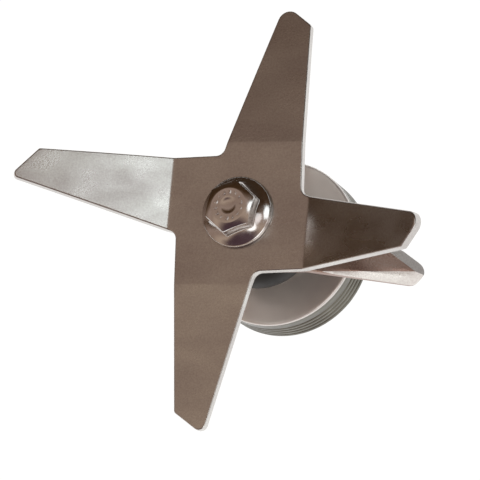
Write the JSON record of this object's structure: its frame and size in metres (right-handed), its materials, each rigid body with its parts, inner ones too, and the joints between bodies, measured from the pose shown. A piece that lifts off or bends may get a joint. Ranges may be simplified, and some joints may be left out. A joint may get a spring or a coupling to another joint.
{
  "type": "blender jar blade assembly",
  "caption": "Bent multi-arm upper blade over a bent lower blade on a splined shaft, turning in a round flanged bearing housing with seal, gasket and ring nut.",
  "frame": {"origin": "on the shaft's axis, in the plane of the housing's underside, which a jar's floor carries through the gasket", "axes": "+Z along the shaft from the drive end to the bolt head; +X along a raised arm of the upper blade"},
  "size_m": [0.0741, 0.0736, 0.059],
  "materials": {
    "blade_steel": "fine brushed, satin",
    "bolt_steel": "polished",
    "housing_steel": "turned, satin top and polished rim",
    "turned_steel": "turned",
    "bearing_steel": "ground and polished",
    "spring_steel": "oil-blackened",
    "cage_brass": "machined",
    "seal_rubber": "matt black nitrile",
    "gasket_rubber": "translucent white silicone",
    "nut_nylon": "moulded black nylon"
  },
  "bodies": {
    "housing": {"bearing_housing": "housing_steel", "housing_circlip": "spring_steel", "jar_gasket": "gasket_rubber", "lower_bearing_bottom_shield": "bearing_steel", "lower_bearing_outer_race": "bearing_steel", "lower_bearing_top_shield": "bearing_steel", "outer_spacer_ring": "turned_steel", "ring_nut": "nut_nylon", "seal_garter_spring": "spring_steel", "shaft_seal": "seal_rubber", "upper_bearing_bottom_shield": "bearing_steel", "upper_bearing_outer_race": "bearing_steel", "upper_bearing_top_shield": "bearing_steel", "wave_washer": "spring_steel"},
    "rotor": {"blade_bolt": "bolt_steel", "drive_shaft": "turned_steel", "inner_spacer_sleeve": "turned_steel", "lower_bearing_inner_race": "bearing_steel", "lower_blade": "blade_steel", "lower_blade_spacer": "turned_steel", "shaft_circlip": "spring_steel", "slinger_cap": "seal_rubber", "slinger_washer": "turned_steel", "upper_bearing_inner_race": "bearing_steel", "upper_blade": "blade_steel", "upper_blade_spacer": "turned_steel"},
    "upper_balls": {"upper_bearing_ball_1": "bearing_steel", "upper_bearing_ball_2": "bearing_steel", "upper_bearing_ball_3": "bearing_steel", "upper_bearing_ball_4": "bearing_steel", "upper_bearing_ball_5": "bearing_steel", "upper_bearing_ball_6": "bearing_steel", "upper_bearing_ball_7": "bearing_steel", "upper_bearing_cage": "cage_brass"},
    "lower_balls": {"lower_bearing_ball_1": "bearing_steel", "lower_bearing_ball_2": "bearing_steel", "lower_bearing_ball_3": "bearing_steel", "lower_bearing_ball_4": "bearing_steel", "lower_bearing_ball_5": "bearing_steel", "lower_bearing_ball_6": "bearing_steel", "lower_bearing_ball_7": "bearing_steel", "lower_bearing_cage": "cage_brass"}
  },
  "joints": [
    {"name": "rotor_spin", "type": "hinge", "parent": "housing", "child": "rotor", "pos_m": [0, 0, 0], "axis": [0, 0, 1], "continuous": true},
    {"name": "upper_balls_orbit", "type": "hinge", "parent": "housing", "child": "upper_balls", "pos_m": [0, 0, -0.0003], "axis": [0, 0, 1], "continuous": true},
    {"name": "lower_balls_orbit", "type": "hinge", "parent": "housing", "child": "lower_balls", "pos_m": [0, 0, -0.0065], "axis": [0, 0, 1], "continuous": true}
  ],
  "couplings": [
    {"joint": "upper_balls_orbit", "follows": "rotor_spin", "ratio": 0.4167},
    {"joint": "lower_balls_orbit", "follows": "rotor_spin", "ratio": 0.4167}
  ]
}
